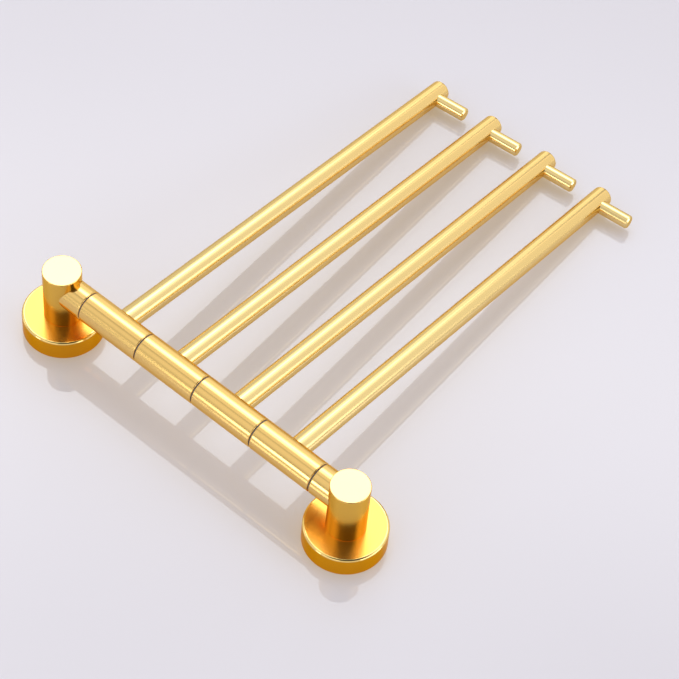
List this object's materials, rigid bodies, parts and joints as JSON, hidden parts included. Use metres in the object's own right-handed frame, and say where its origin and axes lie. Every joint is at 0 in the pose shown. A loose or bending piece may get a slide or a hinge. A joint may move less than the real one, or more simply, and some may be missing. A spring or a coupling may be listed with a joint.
{
  "type": "swing arm towel bar",
  "caption": "Wall towel bar with round arms that swing on a column between two posts, each arm with a peg at its tip.",
  "frame": {"origin": "centre of the rectangle of four wall screw holes, on the wall plane", "axes": "+Z out of the wall, +Y up in use along the column, arms lie along -X at rest"},
  "size_m": [0.3729, 0.306, 0.0585],
  "materials": {
    "gold_metal": "satin brushed, gold anodised",
    "plain_steel": "plain machined",
    "dark_nylon": "matte"
  },
  "bodies": {
    "column": {"wall_plate_lower": "plain_steel", "flange_lower": "gold_metal", "post_lower": "gold_metal", "end_collar_lower": "gold_metal", "wall_plate_upper": "plain_steel", "flange_upper": "gold_metal", "post_upper": "gold_metal", "end_collar_upper": "gold_metal", "post_screws": "plain_steel", "flange_set_screws": "plain_steel", "pivot_rod": "plain_steel", "spacer_washers": "dark_nylon"},
    "arm_1": {"swing_sleeve_1": "gold_metal", "sleeve_bushes_1": "dark_nylon", "arm_stud_1": "plain_steel", "arm_tube_1": "gold_metal", "end_plug_1": "gold_metal", "peg_1": "gold_metal"},
    "arm_2": {"swing_sleeve_2": "gold_metal", "sleeve_bushes_2": "dark_nylon", "arm_stud_2": "plain_steel", "arm_tube_2": "gold_metal", "end_plug_2": "gold_metal", "peg_2": "gold_metal"},
    "arm_3": {"swing_sleeve_3": "gold_metal", "sleeve_bushes_3": "dark_nylon", "arm_stud_3": "plain_steel", "arm_tube_3": "gold_metal", "end_plug_3": "gold_metal", "peg_3": "gold_metal"},
    "arm_4": {"swing_sleeve_4": "gold_metal", "sleeve_bushes_4": "dark_nylon", "arm_stud_4": "plain_steel", "arm_tube_4": "gold_metal", "end_plug_4": "gold_metal", "peg_4": "gold_metal"}
  },
  "joints": [
    {"name": "arm_1_swing", "type": "hinge", "parent": "column", "child": "arm_1", "pos_m": [0, -0.075, 0.042], "axis": [0, 1, 0], "range_deg": [0, 191.49]},
    {"name": "arm_2_swing", "type": "hinge", "parent": "column", "child": "arm_2", "pos_m": [0, -0.025, 0.042], "axis": [0, 1, 0], "range_deg": [0, 191.49]},
    {"name": "arm_3_swing", "type": "hinge", "parent": "column", "child": "arm_3", "pos_m": [0, 0.025, 0.042], "axis": [0, 1, 0], "range_deg": [0, 191.49]},
    {"name": "arm_4_swing", "type": "hinge", "parent": "column", "child": "arm_4", "pos_m": [0, 0.075, 0.042], "axis": [0, 1, 0], "range_deg": [0, 191.49]}
  ]
}
